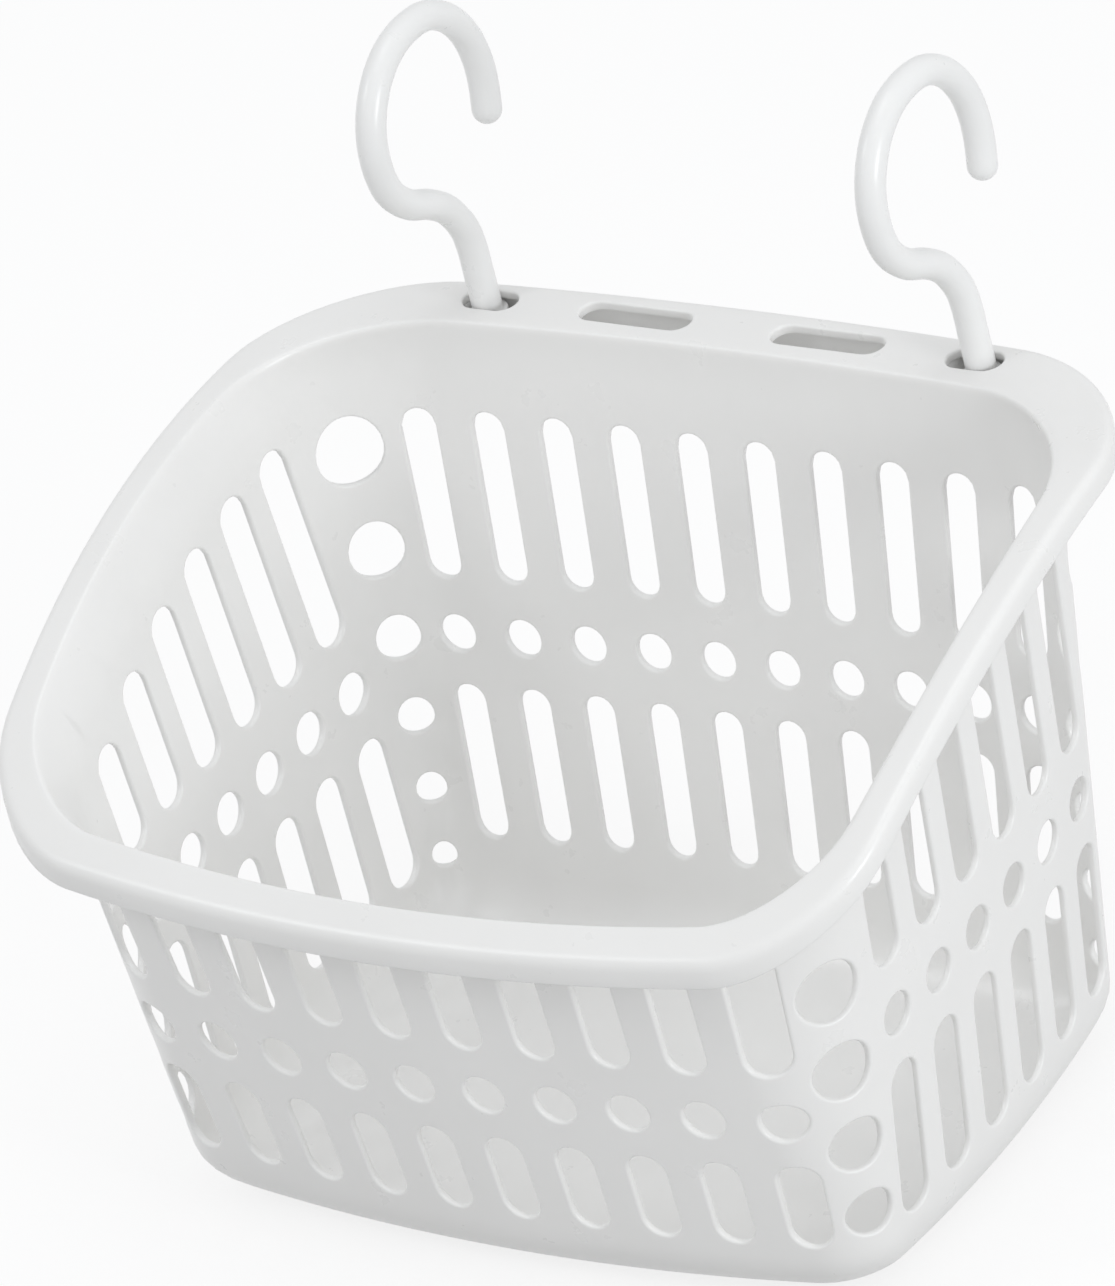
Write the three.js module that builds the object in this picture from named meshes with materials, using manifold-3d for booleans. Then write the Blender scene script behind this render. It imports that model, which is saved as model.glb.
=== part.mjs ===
// Hanging storage basket: one moulded tub with a slotted wall, and two swivelling hooks.
// Millimetres, +Z up, +Y towards the rail it hangs on, origin at the middle of the base.
import * as THREE from 'three';
import { mergeVertices } from 'three/addons/utils/BufferGeometryUtils.js';
import Module from 'manifold-3d';

const wasm = await Module();
wasm.setup();

// Tub walls, measured to the middle of the wall's thickness
const baseHalfWidth = 87.2;
const baseHalfDepth = 56.2;
const ledgeHeight = 139;
const sideSpread = 10.9;
const rearSpread = 26.5;
const frontSpread = 13.7;
const sideBow = 4.1;
const rearBow = 4.5;
const frontBow = 7.6;
const rearCornerAtBase = 4;
const rearCornerAtLedge = 25;
const frontCornerAtBase = 7.5;
const frontCornerAtLedge = 24.5;
const wallThickness = 1.6;
const baseRound = 12;
const leastCorner = 1;

// Rim: a flat band that runs level over the ledge and sweeps down to the front
const frontRimHeight = 101;
const levelDepth = 18;
const sideBand = 7.2;
const frontBand = 7.3;
const ledgeDepth = 16;
const sideFlare = 4.6;
const frontFlare = 2.4;
const flareHeight = 14;
const flareMiddle = 0.6;
const rimRearCorner = 32.5;
const rimFrontCorner = 22.6;
const bandCornerGrowth = 3.2;
const rimSideBow = 5.2;
const rimRearBow = 4.9;
const rimFrontBow = 8.7;
const flangeThickness = 2.2;
const skirtThickness = 2;
const skirtDepth = 6;
const ledgeSkirtDepth = 8;
const bandRound = 1.8;
const innerRound = 0.8;

// Slots and holes: width of each slot, pitch of the columns and the heights of the rows
const rearPitch = 16;
const rearSlotWidth = 8;
const rearHole = 8.8;
const rearLowSlot = [22, 56.8];
const rearHoleHeight = 68.4;
const rearHighSlot = [80.9, 118.9];
const frontPitch = 17;
const frontSlotWidth = 9.4;
const frontHole = 10;
const frontLowSlot = [17.6, 39.1];
const frontHoleHeight = 50.7;
const frontHighSlot = [63, 93.5];
const sidePitch = 15.4;
const sideSlotWidth = 9.6;
const sideHole = 9.6;
const sideFirstInset = 8.6;
const sideLastInset = 12;
const sideLowSlot = [15.9, 50.7];
const sideHoleHeight = 62.3;
const sideHighSlotBottom = 74.7;
const sideSlotToRim = 16;
const sideSlotDip = 12.6;
const sideLowLean = 0.08;
const rearCornerTopHole = 15.8;
const rearCornerTopHeight = 112.7;
const rearCornerWeb = 9.2;
const rearCornerHoleShares = [1, 0.82, 0.65, 0.53, 0.45, 0.37];
const rearCornerTurnShares = [0.45, 0.58];
const frontCornerTopHole = 15;
const frontCornerTopHeight = 78.9;
const frontCornerWeb = 5.2;
const frontCornerTurnShares = [0.27, 0.29];
const frontCornerHoleShares = [1, 0.93, 0.85, 0.74];

// As many columns as the base is long enough for
const rearColumns = Math.floor((2 * baseHalfWidth) / rearPitch);
const frontColumns = Math.floor((2 * baseHalfWidth) / frontPitch);
const sideColumns = Math.floor((2 * baseHalfDepth - sideLastInset) / sidePitch);
const sideFirstColumn = baseHalfDepth - sideFirstInset;

// Two through slots in the ledge, either side of its middle
const ledgeSlotLength = 27;
const ledgeSlotWidth = 7;
const ledgeSlotOffset = 23.7;

// Hooks and the sockets that their feet turn in
const hookSpacing = 121.8;
const hookInset = 7.4;
const hookRod = 6.6;
const loopRadius = 20.2;
const loopHeight = 48;
const loopSetback = 3.2;
const runningGap = 0.35;
const seatLength = 13;
const seatShift = 1.2;
const footLip = 1;
const footHeight = 3;
const footTaper = 0.8;
const footClearance = 0.5;
const socketWall = 1.6;

const overrun = 6;

const arcSteps = 4;
const sideSteps = 4;
const crossSteps = 6;
const holeSegments = 10;
const footArcSteps = 3;
const footSides = 20;
const rodSides = 12;
const rodSteps = 60;
const quarter = Math.PI / 2;

const white = new THREE.Color(0.9, 0.9, 0.89);

// Lines of the wall at one height, moved outward by a distance
function wallLines(height, outward) {
  const lean = height / ledgeHeight;
  return {
    halfWidth: baseHalfWidth + sideSpread * lean + outward,
    rear: baseHalfDepth + rearSpread * lean + outward,
    front: -(baseHalfDepth + frontSpread * lean + outward),
    rearCorner: rearCornerAtBase + (rearCornerAtLedge - rearCornerAtBase) * lean + outward,
    frontCorner: frontCornerAtBase + (frontCornerAtLedge - frontCornerAtBase) * lean + outward,
    sideBow,
    rearBow,
    frontBow,
  };
}

const rimRear = wallLines(ledgeHeight, -wallThickness / 2).rear;
const rimFront = wallLines(frontRimHeight, -wallThickness / 2).front - frontFlare;

// How far along the sloping part of the rim: 0 at the level part's edge, 1 at the front
function slopeShare(y) {
  const levelEdge = rimRear - levelDepth;
  return Math.max(0, levelEdge - y) / (levelEdge - rimFront);
}

// Height of the rim's top face: level over the ledge, then a parabola down to the front
function rimHeight(y) {
  return ledgeHeight - (ledgeHeight - frontRimHeight) * slopeShare(y) ** 2;
}

const rimHalfWidth = wallLines(rimHeight(0), -wallThickness / 2).halfWidth + sideFlare;

// Lines of the rim: share 0 is its inner edge and share 1 its outer edge
function rimLines(share, outward) {
  return {
    halfWidth: rimHalfWidth + sideBand * share + outward,
    rear: rimRear + ledgeDepth * share + outward,
    front: rimFront - frontBand * share - outward,
    rearCorner: rimRearCorner + bandCornerGrowth * share + outward,
    frontCorner: rimFrontCorner + bandCornerGrowth * share + outward,
    sideBow: rimSideBow,
    rearBow: rimRearBow,
    frontBow: rimFrontBow,
  };
}

// Stations round the outline: four corner arcs, each followed by the side that it leads to
function stationList() {
  const stations = [];
  for (let corner = 0; corner < 4; corner += 1) {
    for (let step = 0; step <= arcSteps; step += 1) {
      stations.push({ corner, angle: (corner + step / arcSteps) * quarter, along: 0 });
    }
    const steps = corner % 2 === 0 ? crossSteps : sideSteps;
    for (let step = 1; step < steps; step += 1) {
      stations.push({ corner, angle: (corner + 1) * quarter, along: step / steps });
    }
  }
  return stations;
}

// Point of an outline at a station, with its straight sides bowed outward
function outlinePoint(lines, station) {
  const across = lines.halfWidth - lines.sideBow;
  const rear = lines.rear - lines.rearBow;
  const front = lines.front + lines.frontBow;
  const rearRadius = Math.max(lines.rearCorner, leastCorner);
  const frontRadius = Math.max(lines.frontCorner, leastCorner);
  const corners = [
    [across - rearRadius, rear - rearRadius, rearRadius],
    [rearRadius - across, rear - rearRadius, rearRadius],
    [frontRadius - across, front + frontRadius, frontRadius],
    [across - frontRadius, front + frontRadius, frontRadius],
  ];
  const place = ([cx, cy, radius]) => [
    cx + radius * Math.cos(station.angle),
    cy + radius * Math.sin(station.angle),
  ];
  const here = place(corners[station.corner]);
  const next = place(corners[(station.corner + 1) % 4]);
  const x = here[0] + (next[0] - here[0]) * station.along;
  const y = here[1] + (next[1] - here[1]) * station.along;
  const shareX = x / across;
  const shareY = (2 * y - rear - front) / (rear - front);
  const bow = shareY > 0 ? lines.rearBow : lines.frontBow;
  return new THREE.Vector2(
    x + lines.sideBow * shareX * (1 - shareY * shareY),
    y + bow * shareY * (1 - shareX * shareX),
  );
}

function wallPoint(station, height, outward) {
  const point = outlinePoint(wallLines(height, outward), station);
  return new THREE.Vector3(point.x, point.y, height);
}

function rimPoint(station, share, outward, drop) {
  const point = outlinePoint(rimLines(share, outward), station);
  return new THREE.Vector3(point.x, point.y, rimHeight(point.y) - drop);
}

// Wall that flares out to the rim's inner edge: rise 0 is the flare's foot, 1 the rim
function flarePoint(station, outward, rise, drop) {
  const edge = rimPoint(station, 0, outward + wallThickness / 2, drop);
  const height = edge.z - flareHeight * (1 - rise);
  return wallPoint(station, height, outward).lerp(edge, rise * rise).setZ(height);
}

// Rounding between the floor and the wall
function footPoint(station, outward, turn) {
  const radius = baseRound + outward - wallThickness / 2;
  const height = baseRound - radius * Math.cos(turn);
  return wallPoint(station, height, outward - radius * (1 - Math.sin(turn)));
}

// How deep the skirt hangs: shallow along the ledge and full along the sides and the front
function skirtAt(station) {
  if (station.corner === 0 && station.along > 0) return ledgeSkirtDepth;
  const fromRear = Math.abs(station.angle - quarter) / quarter;
  return THREE.MathUtils.lerp(ledgeSkirtDepth, skirtDepth, Math.min(1, fromRear));
}

// Section of the tub at one station, from the bottom's edge round the rim to the floor
function sectionAt(station) {
  const outer = wallThickness / 2;
  const inner = -wallThickness / 2;
  const skirt = skirtAt(station);
  const turn = quarter / footArcSteps;
  const halfTurn = quarter / 2;
  const roundDrop = bandRound * (1 - Math.sin(halfTurn));
  return [
    footPoint(station, outer, 0),
    footPoint(station, outer, turn),
    footPoint(station, outer, turn + turn),
    footPoint(station, outer, quarter),
    flarePoint(station, outer, 0, 0),
    flarePoint(station, outer, flareMiddle, 0),
    rimPoint(station, 0, wallThickness, flangeThickness),
    rimPoint(station, 1, -skirtThickness, flangeThickness),
    rimPoint(station, 1, -skirtThickness, skirt),
    rimPoint(station, 1, 0, skirt),
    rimPoint(station, 1, 0, bandRound),
    rimPoint(station, 1, -roundDrop, roundDrop),
    rimPoint(station, 1, -bandRound, 0),
    rimPoint(station, 0, innerRound, 0),
    rimPoint(station, 0, 0, innerRound),
    flarePoint(station, inner, flareMiddle, 0),
    flarePoint(station, inner, 0, 0),
    footPoint(station, inner, quarter),
    footPoint(station, inner, turn + turn),
    footPoint(station, inner, turn),
    footPoint(station, inner, 0),
  ];
}

// Closed skin through the sections, with a fan to the middle under and over the floor
function skinOfSections(sections) {
  const count = sections.length;
  const rows = sections[0].length;
  const positions = [];
  sections.forEach((section) => section.forEach((point) => positions.push(...point.toArray())));
  const bottom = count * rows;
  const top = bottom + 1;
  positions.push(0, 0, sections[0][0].z);
  positions.push(0, 0, sections[0][rows - 1].z);
  const index = [];
  for (let here = 0; here < count; here += 1) {
    const next = (here + 1) % count;
    index.push(bottom, next * rows, here * rows);
    index.push(top, here * rows + rows - 1, next * rows + rows - 1);
    for (let row = 0; row + 1 < rows; row += 1) {
      const corner = here * rows + row;
      const across = next * rows + row;
      index.push(corner, across, across + 1, corner, across + 1, corner + 1);
    }
  }
  const geometry = new THREE.BufferGeometry();
  geometry.setAttribute('position', new THREE.Float32BufferAttribute(positions, 3));
  geometry.setIndex(index);
  return geometry;
}

function toSolid(geometry) {
  const bare = geometry.clone();
  bare.deleteAttribute('normal');
  bare.deleteAttribute('uv');
  const merged = mergeVertices(bare);
  return new wasm.Manifold(new wasm.Mesh({
    numProp: 3,
    vertProperties: new Float32Array(merged.attributes.position.array),
    triVerts: new Uint32Array(merged.index.array),
  }));
}

function toMesh(name, solid, finish) {
  const mesh = solid.getMesh();
  const geometry = new THREE.BufferGeometry();
  geometry.setAttribute('position', new THREE.BufferAttribute(mesh.vertProperties, 3));
  geometry.setIndex(new THREE.BufferAttribute(mesh.triVerts, 1));
  geometry.computeVertexNormals();
  const result = new THREE.Mesh(geometry, finish);
  result.name = name;
  return result;
}

// Outline of a slot with round ends; a length of zero gives a round hole
function slotShape(width, length) {
  const shape = new THREE.Shape();
  const radius = width / 2;
  const half = length / 2;
  for (let step = 0; step < holeSegments; step += 1) {
    const angle = ((step + 0.5) / holeSegments) * 2 * Math.PI;
    const x = radius * Math.cos(angle);
    const y = radius * Math.sin(angle) + (Math.sin(angle) > 0 ? half : -half);
    if (step === 0) shape.moveTo(x, y);
    else shape.lineTo(x, y);
  }
  return shape;
}

// Cutter through the wall, from one centre of a slot's round end to the other
function slotCutter(low, high, width, outward) {
  const up = high.clone().sub(low);
  const length = up.length();
  if (length > 0) up.normalize();
  else up.set(0, 0, 1);
  const side = up.clone().cross(outward).normalize();
  const through = side.clone().cross(up);
  const depth = wallThickness + 2 * overrun;
  const cutter = new THREE.ExtrudeGeometry(slotShape(width, length), {
    depth,
    bevelEnabled: false,
    steps: 1,
  });
  const middle = low.clone().add(high).multiplyScalar(0.5);
  const start = middle.addScaledVector(through, -depth / 2);
  cutter.applyMatrix4(new THREE.Matrix4().makeBasis(side, up, through).setPosition(start));
  return cutter;
}

function slotBetween(pointAt, [bottom, top], width, outward) {
  const round = width / 2;
  return slotCutter(pointAt(bottom + round), pointAt(top - round), width, outward);
}

// Columns of the rear or front wall spread as the tub widens upward
function crossPoint(column, rowHeight, towardsRear) {
  return (height) => {
    const lines = wallLines(height, 0);
    const spread = lines.halfWidth / wallLines(rowHeight, 0).halfWidth;
    const x = column * spread;
    const share = x / (lines.halfWidth - sideBow);
    const wall = towardsRear
      ? lines.rear - rearBow * share * share
      : lines.front + frontBow * share * share;
    return new THREE.Vector3(x, wall, height);
  };
}

// Columns of a side wall are upright, and lean forward below the row of holes
function sidePoint(column, side) {
  return (height) => {
    const y = column - Math.max(0, sideHoleHeight - height) * sideLowLean;
    const lines = wallLines(height, 0);
    const middle = (lines.rear - rearBow + lines.front + frontBow) / 2;
    const half = (lines.rear - rearBow - lines.front - frontBow) / 2;
    const share = (y - middle) / half;
    return new THREE.Vector3(side * (lines.halfWidth - sideBow * share * share), y, height);
  };
}

function rearCutters() {
  const cutters = [];
  const outward = new THREE.Vector3(0, 1, 0);
  for (let column = 0; column < rearColumns; column += 1) {
    const pointAt = crossPoint((column - (rearColumns - 1) / 2) * rearPitch, rearHoleHeight, true);
    const centre = pointAt(rearHoleHeight);
    cutters.push(slotBetween(pointAt, rearLowSlot, rearSlotWidth, outward));
    cutters.push(slotCutter(centre, centre, rearHole, outward));
    cutters.push(slotBetween(pointAt, rearHighSlot, rearSlotWidth, outward));
  }
  return cutters;
}

function frontCutters() {
  const cutters = [];
  const outward = new THREE.Vector3(0, -1, 0);
  for (let column = 0; column < frontColumns; column += 1) {
    const place = (column - (frontColumns - 1) / 2) * frontPitch;
    const pointAt = crossPoint(place, frontHoleHeight, false);
    const centre = pointAt(frontHoleHeight);
    cutters.push(slotBetween(pointAt, frontLowSlot, frontSlotWidth, outward));
    cutters.push(slotCutter(centre, centre, frontHole, outward));
    cutters.push(slotBetween(pointAt, frontHighSlot, frontSlotWidth, outward));
  }
  return cutters;
}

function sideCutters(side) {
  const cutters = [];
  const outward = new THREE.Vector3(side, 0, 0);
  for (let column = 0; column < sideColumns; column += 1) {
    const y = sideFirstColumn - column * sidePitch;
    const pointAt = sidePoint(y, side);
    const centre = pointAt(sideHoleHeight);
    const slotTop = rimHeight(y) - sideSlotToRim - sideSlotDip * slopeShare(y) ** 3;
    const highSlot = [sideHighSlotBottom, slotTop];
    cutters.push(slotBetween(pointAt, sideLowSlot, sideSlotWidth, outward));
    cutters.push(slotCutter(centre, centre, sideHole, outward));
    cutters.push(slotBetween(pointAt, highSlot, sideSlotWidth, outward));
  }
  return cutters;
}

// Column of round holes down a corner, smaller towards the base, with even webs between
function cornerCutters(corner, topHole, topHeight, web, holeShares, turnShares) {
  const holes = holeShares.map((share) => topHole * share);
  const heights = [topHeight];
  for (let row = 1; row < holes.length; row += 1) {
    heights.push(heights[row - 1] - (holes[row - 1] + holes[row]) / 2 - web);
  }
  const lowest = heights[heights.length - 1];
  const outward = new THREE.Vector3();
  return holes.map((hole, row) => {
    const fall = (topHeight - heights[row]) / (topHeight - lowest);
    const turn = THREE.MathUtils.lerp(turnShares[0], turnShares[1], fall);
    const angle = (corner + (corner % 2 === 0 ? turn : 1 - turn)) * quarter;
    const centre = wallPoint({ corner, angle, along: 0 }, heights[row], 0);
    outward.set(Math.cos(angle), Math.sin(angle), 0);
    return slotCutter(centre, centre, hole, outward);
  });
}

function allCornerCutters() {
  const rear = [rearCornerTopHole, rearCornerTopHeight, rearCornerWeb];
  const front = [frontCornerTopHole, frontCornerTopHeight, frontCornerWeb];
  return [
    ...cornerCutters(0, ...rear, rearCornerHoleShares, rearCornerTurnShares),
    ...cornerCutters(1, ...rear, rearCornerHoleShares, rearCornerTurnShares),
    ...cornerCutters(2, ...front, frontCornerHoleShares, frontCornerTurnShares),
    ...cornerCutters(3, ...front, frontCornerHoleShares, frontCornerTurnShares),
  ];
}

// Upright slot or hole cutter in the ledge, its long way along X
function ledgeCutter(x, y, length, width, bottom, top) {
  const geometry = new THREE.ExtrudeGeometry(slotShape(width, length - width), {
    depth: top - bottom,
    bevelEnabled: false,
    steps: 1,
  });
  geometry.rotateZ(quarter);
  geometry.translate(x, y, bottom);
  return geometry;
}

const ledgeMiddle = rimRear + ledgeDepth / 2;
const hookY = rimRear + hookInset;
const seatWidth = hookRod + 2 * runningGap;
const footRadius = hookRod / 2 + footLip;
const ledgeUnderside = ledgeHeight - flangeThickness;
const footTop = ledgeUnderside - runningGap;
const footBottom = footTop - footHeight;
const socketFloor = footBottom - footClearance;
const socketBottom = socketFloor - socketWall;
const socketHalfDepth = footRadius + footClearance;

function boxBetween([x0, y0, z0], [x1, y1, z1]) {
  const box = new THREE.BoxGeometry(x1 - x0, y1 - y0, z1 - z0);
  box.translate((x0 + x1) / 2, (y0 + y1) / 2, (z0 + z1) / 2);
  return box;
}

// Socket box under the ledge, closed below, and the hollow that the hook's foot turns in
function socketBox(side) {
  const x = side * (hookSpacing / 2 - seatShift);
  const half = seatLength / 2 + socketWall;
  const front = crossPoint(x, rearHoleHeight, true)((socketBottom + ledgeHeight) / 2).y;
  return boxBetween(
    [x - half, front, socketBottom],
    [x + half, hookY + socketHalfDepth + socketWall, ledgeUnderside + flangeThickness / 2],
  );
}

function socketHollow(side) {
  const x = side * (hookSpacing / 2 - seatShift);
  const half = seatLength / 2;
  return boxBetween(
    [x - half, hookY - socketHalfDepth, socketFloor],
    [x + half, hookY + socketHalfDepth, ledgeUnderside],
  );
}

// Slots through the ledge: two open ones, and the two seats that the hooks stand in
function ledgeCutters(side) {
  const top = ledgeHeight + overrun;
  const seatX = side * (hookSpacing / 2 - seatShift);
  const slotX = side * ledgeSlotOffset;
  return [
    ledgeCutter(slotX, ledgeMiddle, ledgeSlotLength, ledgeSlotWidth, ledgeUnderside - overrun, top),
    ledgeCutter(seatX, hookY, seatLength, seatWidth, ledgeUnderside - runningGap, top),
    socketHollow(side),
  ];
}

function makeTub() {
  let tub = toSolid(skinOfSections(stationList().map(sectionAt)));
  [-1, 1].forEach((side) => {
    tub = tub.add(toSolid(socketBox(side)));
  });
  const cutters = [
    ...rearCutters(),
    ...frontCutters(),
    ...sideCutters(-1),
    ...sideCutters(1),
    ...allCornerCutters(),
    ...ledgeCutters(-1),
    ...ledgeCutters(1),
  ];
  cutters.forEach((cutter) => {
    tub = tub.subtract(toSolid(cutter));
  });
  const finish = new THREE.MeshStandardMaterial({ color: white, roughness: 0.38, metalness: 0 });
  return toMesh('tub', tub, finish);
}

// Centre line of the hook as shares of the loop's radius from the loop's centre: tip first
const loopPathShares = [
  [0.97, -0.55], [1.02, -0.27], [1.02, 0.02], [0.93, 0.37], [0.71, 0.70], [0.38, 0.93],
  [0, 1], [-0.38, 0.94], [-0.71, 0.73], [-0.94, 0.39], [-1.01, 0], [-0.93, -0.4],
  [-0.67, -0.71], [-0.36, -0.9], [-0.11, -1.11], [0.04, -1.33], [0.125, -1.53],
];
const stemShares = [-1.78, -2.05];

function hookPath() {
  const points = loopPathShares.map(([back, up]) => new THREE.Vector3(
    0,
    back * loopRadius - loopSetback,
    up * loopRadius + loopHeight,
  ));
  stemShares.forEach((up) => points.push(new THREE.Vector3(0, 0, up * loopRadius + loopHeight)));
  points.push(new THREE.Vector3(0, 0, footTop - ledgeHeight - footHeight / 2));
  return new THREE.CatmullRomCurve3(points, false, 'centripetal');
}

function roundShape(radius, sides) {
  const shape = new THREE.Shape();
  for (let step = 0; step < sides; step += 1) {
    const angle = (step / sides) * 2 * Math.PI;
    const point = [radius * Math.cos(angle), radius * Math.sin(angle)];
    if (step === 0) shape.moveTo(...point);
    else shape.lineTo(...point);
  }
  return shape;
}

// Foot under the ledge: a lip wider than the seat, which turns in the socket
function hookFoot() {
  const top = footTop - ledgeHeight;
  const bottom = footBottom - ledgeHeight;
  const profile = [
    new THREE.Vector2(0, bottom),
    new THREE.Vector2(footRadius - footTaper, bottom),
    new THREE.Vector2(footRadius, bottom + footTaper),
    new THREE.Vector2(footRadius, top),
    new THREE.Vector2(0, top),
  ];
  const foot = new THREE.LatheGeometry(profile, footSides);
  foot.rotateX(quarter);
  return foot;
}

function makeHook(name, side) {
  const path = hookPath();
  const rod = new THREE.ExtrudeGeometry(roundShape(hookRod / 2, rodSides), {
    steps: rodSteps,
    bevelEnabled: false,
    extrudePath: path,
  });
  const tip = new THREE.SphereGeometry(hookRod / 2, rodSides, rodSides / 2);
  tip.translate(...path.getPoint(0).toArray());
  const solid = toSolid(rod).add(toSolid(tip)).add(toSolid(hookFoot()));
  const finish = new THREE.MeshStandardMaterial({ color: white, roughness: 0.34, metalness: 0 });
  const hook = toMesh(name, solid, finish);
  hook.position.set(side * hookSpacing / 2, hookY, ledgeHeight);
  return hook;
}

const basket = new THREE.Group();
basket.name = 'hanging_storage_basket';
basket.add(makeTub());
basket.add(makeHook('left_hook', -1));
basket.add(makeHook('right_hook', 1));

export default basket;
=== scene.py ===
import bpy, math
import bmesh
import numpy as np
from mathutils import Matrix, Vector


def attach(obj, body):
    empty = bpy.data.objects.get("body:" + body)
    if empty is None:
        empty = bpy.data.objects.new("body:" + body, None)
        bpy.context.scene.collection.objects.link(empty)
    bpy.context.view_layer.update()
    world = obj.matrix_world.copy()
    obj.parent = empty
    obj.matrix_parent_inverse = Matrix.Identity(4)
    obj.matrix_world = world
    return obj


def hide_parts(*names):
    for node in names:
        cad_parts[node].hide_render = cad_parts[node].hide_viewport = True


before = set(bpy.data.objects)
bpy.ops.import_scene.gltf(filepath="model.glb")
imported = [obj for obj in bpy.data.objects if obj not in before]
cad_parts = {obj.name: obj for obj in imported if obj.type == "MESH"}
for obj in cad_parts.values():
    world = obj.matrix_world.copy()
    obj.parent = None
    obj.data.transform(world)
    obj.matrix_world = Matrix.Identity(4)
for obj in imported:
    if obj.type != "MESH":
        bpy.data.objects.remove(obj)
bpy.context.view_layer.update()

quarter = math.pi / 2
millimetre = 0.001
searchSteps = 28                          # halvings when a place on the wall is looked up
joinDistance = 0.002                      # mm, points nearer than this become one
print("frame loaded")


# camera: a long lens from the front right, rolled a little, as in the photograph
view = dict(
    azimuth=39.09, elevation=30.99, roll=14.69,
    distance=2644.6,              # mm from the aim point
    pixelsPerMm=4.782,            # at that distance
    aim=(0.0, 69.3, 68.45),       # mm, middle of the rear wall
    aimPixel=(752.65, 663.46), imageSize=(1115, 1286),
    sensor=36.0, clipEnd=20.0,    # mm and metres
)


def makeCamera():
    azimuth, elevation, roll = [math.radians(view[k]) for k in ("azimuth", "elevation", "roll")]
    back = Vector((math.sin(azimuth) * math.cos(elevation),
                   -math.cos(azimuth) * math.cos(elevation), math.sin(elevation)))
    level = Vector((math.cos(azimuth), math.sin(azimuth), 0))
    upright = back.cross(level)
    right = level * math.cos(roll) - upright * math.sin(roll)
    up = level * math.sin(roll) + upright * math.cos(roll)
    width, height = view["imageSize"]
    offX = (view["aimPixel"][0] - width / 2) / view["pixelsPerMm"]
    offY = -(view["aimPixel"][1] - height / 2) / view["pixelsPerMm"]
    place = Vector(view["aim"]) - right * offX - up * offY + back * view["distance"]
    data = bpy.data.cameras.new("camera")
    data.sensor_width = view["sensor"]
    data.lens = view["pixelsPerMm"] * view["distance"] / height * view["sensor"]
    data.clip_end = view["clipEnd"]
    camera = bpy.data.objects.new("camera", data)
    bpy.context.scene.collection.objects.link(camera)
    turn = Matrix((right, up, back)).transposed().to_4x4()
    camera.matrix_world = Matrix.Translation(place * millimetre) @ turn
    bpy.context.scene.camera = camera


makeCamera()
print("camera set")


# tub: all sizes in mm, measured to the middle of the wall
tub = dict(
    baseHalfWidth=87.2, baseHalfDepth=56.2, ledgeHeight=139.0, frontRimHeight=101.0,
    sideSpread=10.9, rearSpread=26.5, frontSpread=13.7,
    rearCorner=(4.0, 25.0), frontCorner=(7.5, 24.5), leastCorner=1.0,    # at the floor, at the ledge
    wall=1.6, baseRound=13.8, footCorner=21.0, footSteps=9, floorShares=(0.97, 0.85, 0.6, 0.35, 0.12),
    levelDepth=18.0, flareHeight=14.0, sideFlare=4.6, frontFlare=2.4,
    bows=(4.1, 4.5, 7.6),                 # side, rear, front
)
rim = dict(
    sideBand=7.2, frontBand=7.3, ledgeDepth=16.0, bows=(5.2, 4.9, 8.7),
    rearCorner=32.5, frontCorner=22.6, cornerGrowth=3.2,
    flange=2.2, skirtWall=1.7, skirtDepth=6.0, ledgeSkirt=8.0,
    outerRound=2.0, innerRound=0.8, edgeRound=0.5, bandRows=6, wallTop=4.4, lipStep=0.3, topShare=0.55,
)
holes = dict(
    rearColumns=10, rearPitch=16.0, rearSlot=7.4, rearHole=8.2,
    rearRows=((22.0, 56.8), 68.4, (80.9, 118.9)), rearEdge=77.4,
    frontColumns=10, frontPitch=17.0, frontSlot=8.8, frontHole=9.4,
    frontRows=((17.6, 39.1), 50.7, (63.0, 93.5)), frontEdge=82.0,
    sideColumns=6, sidePitch=15.4, sideSlot=9.0, sideHole=9.0, sideFirst=47.6, sideLean=0.08,
    sideRows=((15.9, 50.7), 62.3, (74.7, None)), sideToRim=16.0, sideDip=12.6,
    sideEdges=(54.0, -36.0),
    rearCornerHole=15.2, rearCornerTop=112.7, rearCornerWeb=9.4, rearCornerTurns=(0.43, 0.6),
    rearCornerShares=(1, 0.82, 0.65, 0.53, 0.45, 0.37),
    frontCornerHole=14.2, frontCornerTop=78.9, frontCornerWeb=6.0, frontCornerTurns=(0.27, 0.29),
    frontCornerShares=(1, 0.93, 0.85, 0.74),
    edgeRound=0.55, edgeSteps=4, hold=0.2, across=8, upright=(4, 6, 4, 8, 4, 8, 4),
    blend=(0.62, 0.3), cornerBlend=(0.75, 0.5, 0.25),     # shares of the way from a hole to its cell's edge
    raySmoothing=6, topStart=100.0, topSearch=6,
)


def wallLines(height, outward):
    lean = height / tub["ledgeHeight"]
    rearLow, rearHigh = tub["rearCorner"]
    frontLow, frontHigh = tub["frontCorner"]
    return (tub["baseHalfWidth"] + tub["sideSpread"] * lean + outward,
            tub["baseHalfDepth"] + tub["rearSpread"] * lean + outward,
            -(tub["baseHalfDepth"] + tub["frontSpread"] * lean + outward),
            rearLow + (rearHigh - rearLow) * lean + outward,
            frontLow + (frontHigh - frontLow) * lean + outward)


rimRear = wallLines(tub["ledgeHeight"], -tub["wall"] / 2)[1]
rimFront = wallLines(tub["frontRimHeight"], -tub["wall"] / 2)[2] - tub["frontFlare"]


def slopeShare(y):                        # 0 on the level part of the rim, 1 at its front
    levelEdge = rimRear - tub["levelDepth"]
    return np.maximum(0, levelEdge - y) / (levelEdge - rimFront)


def rimHeight(y):
    return tub["ledgeHeight"] - (tub["ledgeHeight"] - tub["frontRimHeight"]) * slopeShare(y) ** 2


rimHalfWidth = wallLines(rimHeight(0.0), -tub["wall"] / 2)[0] + tub["sideFlare"]


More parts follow.
